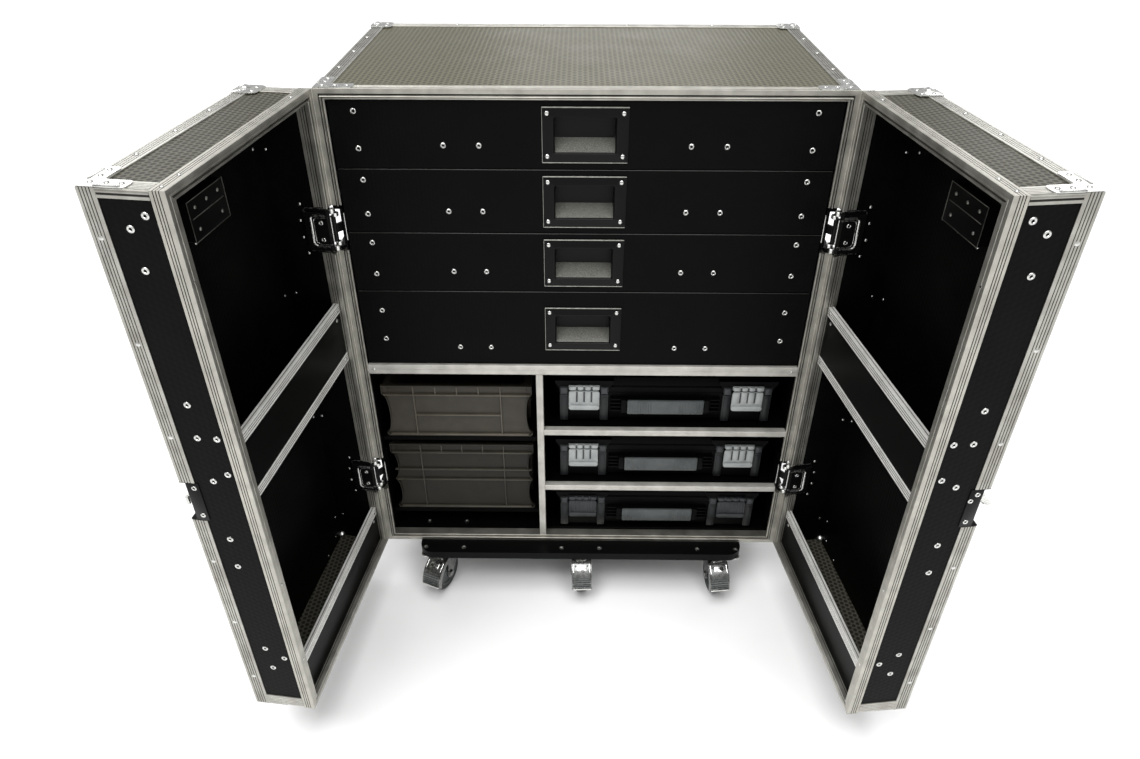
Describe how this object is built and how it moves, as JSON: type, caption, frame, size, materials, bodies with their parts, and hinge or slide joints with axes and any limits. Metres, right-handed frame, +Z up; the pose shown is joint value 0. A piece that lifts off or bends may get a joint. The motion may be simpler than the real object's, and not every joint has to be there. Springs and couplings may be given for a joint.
{
  "type": "wheeled workshop flight case",
  "caption": "Upright two-door flight case cabinet on castors, with drawers above and open bays below holding slide-out bins and tool cases.",
  "frame": {"origin": "middle of the footprint on the ground, doors open as at rest", "axes": "+Z up, +X to the right seen from the front, -Y out of the front"},
  "size_m": [1.4036, 1.0609, 1.304],
  "materials": {
    "black_laminate": "satin phenolic laminate",
    "grey_top": "satin laminate",
    "black_board": "black phenolic film",
    "aluminium_extrusion": "satin anodised",
    "zinc_hardware": "bright zinc plate",
    "black_hardware": "satin black powder coat",
    "runner_steel": "zinc plated",
    "bin_lower_plastic": "moulded polypropylene",
    "bin_upper_plastic": "moulded polypropylene",
    "case_plastic": "grained moulded plastic",
    "case_latch_plastic": "silver grey moulded plastic",
    "castor_steel": "zinc plated pressing",
    "castor_tyre": "moulded tread"
  },
  "bodies": {
    "cabinet": {"side_panels": "black_laminate", "top_panel": "grey_top", "base_panel": "black_board", "back_panel": "black_laminate", "body_edging": "aluminium_extrusion", "body_closure_frame": "aluminium_extrusion", "bay_boards": "black_board", "bay_trims": "aluminium_extrusion", "body_corners": "zinc_hardware", "drawer_runners": "runner_steel", "body_hinge_leaves": "zinc_hardware", "castor_board": "black_board", "castor_plates": "zinc_hardware"},
    "left_door": {"left_door_front": "black_laminate", "left_door_sides": "black_laminate", "left_door_edging": "aluminium_extrusion", "left_door_closure_frame": "aluminium_extrusion", "left_door_shelves": "black_board", "left_door_lip_trims": "aluminium_extrusion", "left_door_corners": "zinc_hardware", "left_door_dishes": "black_hardware", "left_door_hinge_leaves": "zinc_hardware"},
    "right_door": {"right_door_front": "black_laminate", "right_door_sides": "black_laminate", "right_door_edging": "aluminium_extrusion", "right_door_closure_frame": "aluminium_extrusion", "right_door_shelves": "black_board", "right_door_lip_trims": "aluminium_extrusion", "right_door_corners": "zinc_hardware", "right_door_dishes": "black_hardware", "right_door_hinge_leaves": "zinc_hardware"},
    "latch_wing": {"latch_wing": "zinc_hardware"},
    "drawer_1": {"drawer_1_box": "black_laminate", "drawer_1_pull": "black_hardware"},
    "drawer_2": {"drawer_2_box": "black_laminate", "drawer_2_pull": "black_hardware"},
    "drawer_3": {"drawer_3_box": "black_laminate", "drawer_3_pull": "black_hardware"},
    "drawer_4": {"drawer_4_box": "black_laminate", "drawer_4_pull": "black_hardware"},
    "lower_bin": {"lower_bin": "bin_lower_plastic"},
    "upper_bin": {"upper_bin": "bin_upper_plastic"},
    "tool_case_1": {"tool_case_1": "case_plastic"},
    "tool_case_1_latches": {"tool_case_1_latches": "case_latch_plastic"},
    "tool_case_2": {"tool_case_2": "case_plastic"},
    "tool_case_2_latches": {"tool_case_2_latches": "case_latch_plastic"},
    "tool_case_3": {"tool_case_3": "case_plastic"},
    "tool_case_3_latches": {"tool_case_3_latches": "case_latch_plastic"},
    "castor_1_fork": {"castor_1_fork": "castor_steel"},
    "castor_1_wheel": {"castor_1_wheel": "castor_tyre"},
    "castor_2_fork": {"castor_2_fork": "castor_steel"},
    "castor_2_wheel": {"castor_2_wheel": "castor_tyre"},
    "castor_3_fork": {"castor_3_fork": "castor_steel"},
    "castor_3_wheel": {"castor_3_wheel": "castor_tyre"},
    "castor_4_fork": {"castor_4_fork": "castor_steel"},
    "castor_4_wheel": {"castor_4_wheel": "castor_tyre"},
    "castor_5_fork": {"castor_5_fork": "castor_steel"},
    "castor_5_wheel": {"castor_5_wheel": "castor_tyre"},
    "castor_6_fork": {"castor_6_fork": "castor_steel"},
    "castor_6_wheel": {"castor_6_wheel": "castor_tyre"}
  },
  "joints": [
    {"name": "left_door_hinge", "type": "hinge", "parent": "cabinet", "child": "left_door", "pos_m": [-0.5, -0.03274, 0.724], "axis": [0, 0, -1], "range_deg": [-97, 0]},
    {"name": "right_door_hinge", "type": "hinge", "parent": "cabinet", "child": "right_door", "pos_m": [0.5, -0.03274, 0.724], "axis": [0, 0, 1], "range_deg": [-97, 0]},
    {"name": "latch_turn", "type": "hinge", "parent": "right_door", "child": "latch_wing", "pos_m": [0.68228, -0.48917, 0.7275], "axis": [0.9925, 0.1219, 0], "range_deg": [0, 180]},
    {"name": "drawer_1_slide", "type": "slide", "parent": "cabinet", "child": "drawer_1", "axis": [0, -1, 0], "range_m": [0, 0.4]},
    {"name": "drawer_2_slide", "type": "slide", "parent": "cabinet", "child": "drawer_2", "axis": [0, -1, 0], "range_m": [0, 0.4]},
    {"name": "drawer_3_slide", "type": "slide", "parent": "cabinet", "child": "drawer_3", "axis": [0, -1, 0], "range_m": [0, 0.4]},
    {"name": "drawer_4_slide", "type": "slide", "parent": "cabinet", "child": "drawer_4", "axis": [0, -1, 0], "range_m": [0, 0.4]},
    {"name": "lower_bin_slide", "type": "slide", "parent": "cabinet", "child": "lower_bin", "axis": [0, -1, 0], "range_m": [0, 0.35]},
    {"name": "upper_bin_slide", "type": "slide", "parent": "cabinet", "child": "upper_bin", "axis": [0, -1, 0], "range_m": [0, 0.35]},
    {"name": "tool_case_1_slide", "type": "slide", "parent": "cabinet", "child": "tool_case_1", "axis": [0, -1, 0], "range_m": [0, 0.35]},
    {"name": "tool_case_1_latch", "type": "hinge", "parent": "tool_case_1", "child": "tool_case_1_latches", "pos_m": [0.195, -0.00284, 0.604], "axis": [-1, 0, 0], "range_deg": [0, 100]},
    {"name": "tool_case_2_slide", "type": "slide", "parent": "cabinet", "child": "tool_case_2", "axis": [0, -1, 0], "range_m": [0, 0.35]},
    {"name": "tool_case_2_latch", "type": "hinge", "parent": "tool_case_2", "child": "tool_case_2_latches", "pos_m": [0.195, -0.00284, 0.431], "axis": [-1, 0, 0], "range_deg": [0, 100]},
    {"name": "tool_case_3_slide", "type": "slide", "parent": "cabinet", "child": "tool_case_3", "axis": [0, -1, 0], "range_m": [0, 0.35]},
    {"name": "tool_case_3_latch", "type": "hinge", "parent": "tool_case_3", "child": "tool_case_3_latches", "pos_m": [0.195, -0.00284, 0.2612], "axis": [-1, 0, 0], "range_deg": [0, 100]},
    {"name": "castor_1_swivel", "type": "hinge", "parent": "cabinet", "child": "castor_1_fork", "pos_m": [-0.35, -0.01824, 0.124], "axis": [0, 0, 1], "continuous": true},
    {"name": "castor_1_roll", "type": "hinge", "parent": "castor_1_fork", "child": "castor_1_wheel", "pos_m": [-0.36261, -0.04656, 0.05], "axis": [0.9135, -0.4067, 0], "continuous": true},
    {"name": "castor_2_swivel", "type": "hinge", "parent": "cabinet", "child": "castor_2_fork", "pos_m": [0, -0.01824, 0.124], "axis": [0, 0, 1], "continuous": true},
    {"name": "castor_2_roll", "type": "hinge", "parent": "castor_2_fork", "child": "castor_2_wheel", "pos_m": [0.00162, -0.04919, 0.05], "axis": [0.9986, 0.0523, 0], "continuous": true},
    {"name": "castor_3_swivel", "type": "hinge", "parent": "cabinet", "child": "castor_3_fork", "pos_m": [0.35, -0.01824, 0.124], "axis": [0, 0, 1], "continuous": true},
    {"name": "castor_3_roll", "type": "hinge", "parent": "castor_3_fork", "child": "castor_3_wheel", "pos_m": [0.35378, -0.049, 0.05], "axis": [0.9925, 0.1219, 0], "continuous": true},
    {"name": "castor_4_swivel", "type": "hinge", "parent": "cabinet", "child": "castor_4_fork", "pos_m": [-0.35, 0.46776, 0.124], "axis": [0, 0, 1], "continuous": true},
    {"name": "castor_4_roll", "type": "hinge", "parent": "castor_4_fork", "child": "castor_4_wheel", "pos_m": [-0.34355, 0.43744, 0.05], "axis": [0.9781, 0.2079, 0], "continuous": true},
    {"name": "castor_5_swivel", "type": "hinge", "parent": "cabinet", "child": "castor_5_fork", "pos_m": [0, 0.46776, 0.124], "axis": [0, 0, 1], "continuous": true},
    {"name": "castor_5_roll", "type": "hinge", "parent": "castor_5_fork", "child": "castor_5_wheel", "pos_m": [-0.00431, 0.43707, 0.05], "axis": [0.9903, -0.1392, 0], "continuous": true},
    {"name": "castor_6_swivel", "type": "hinge", "parent": "cabinet", "child": "castor_6_fork", "pos_m": [0.35, 0.46776, 0.124], "axis": [0, 0, 1], "continuous": true},
    {"name": "castor_6_roll", "type": "hinge", "parent": "castor_6_fork", "child": "castor_6_wheel", "pos_m": [0.35958, 0.43828, 0.05], "axis": [0.9511, 0.309, 0], "continuous": true}
  ]
}
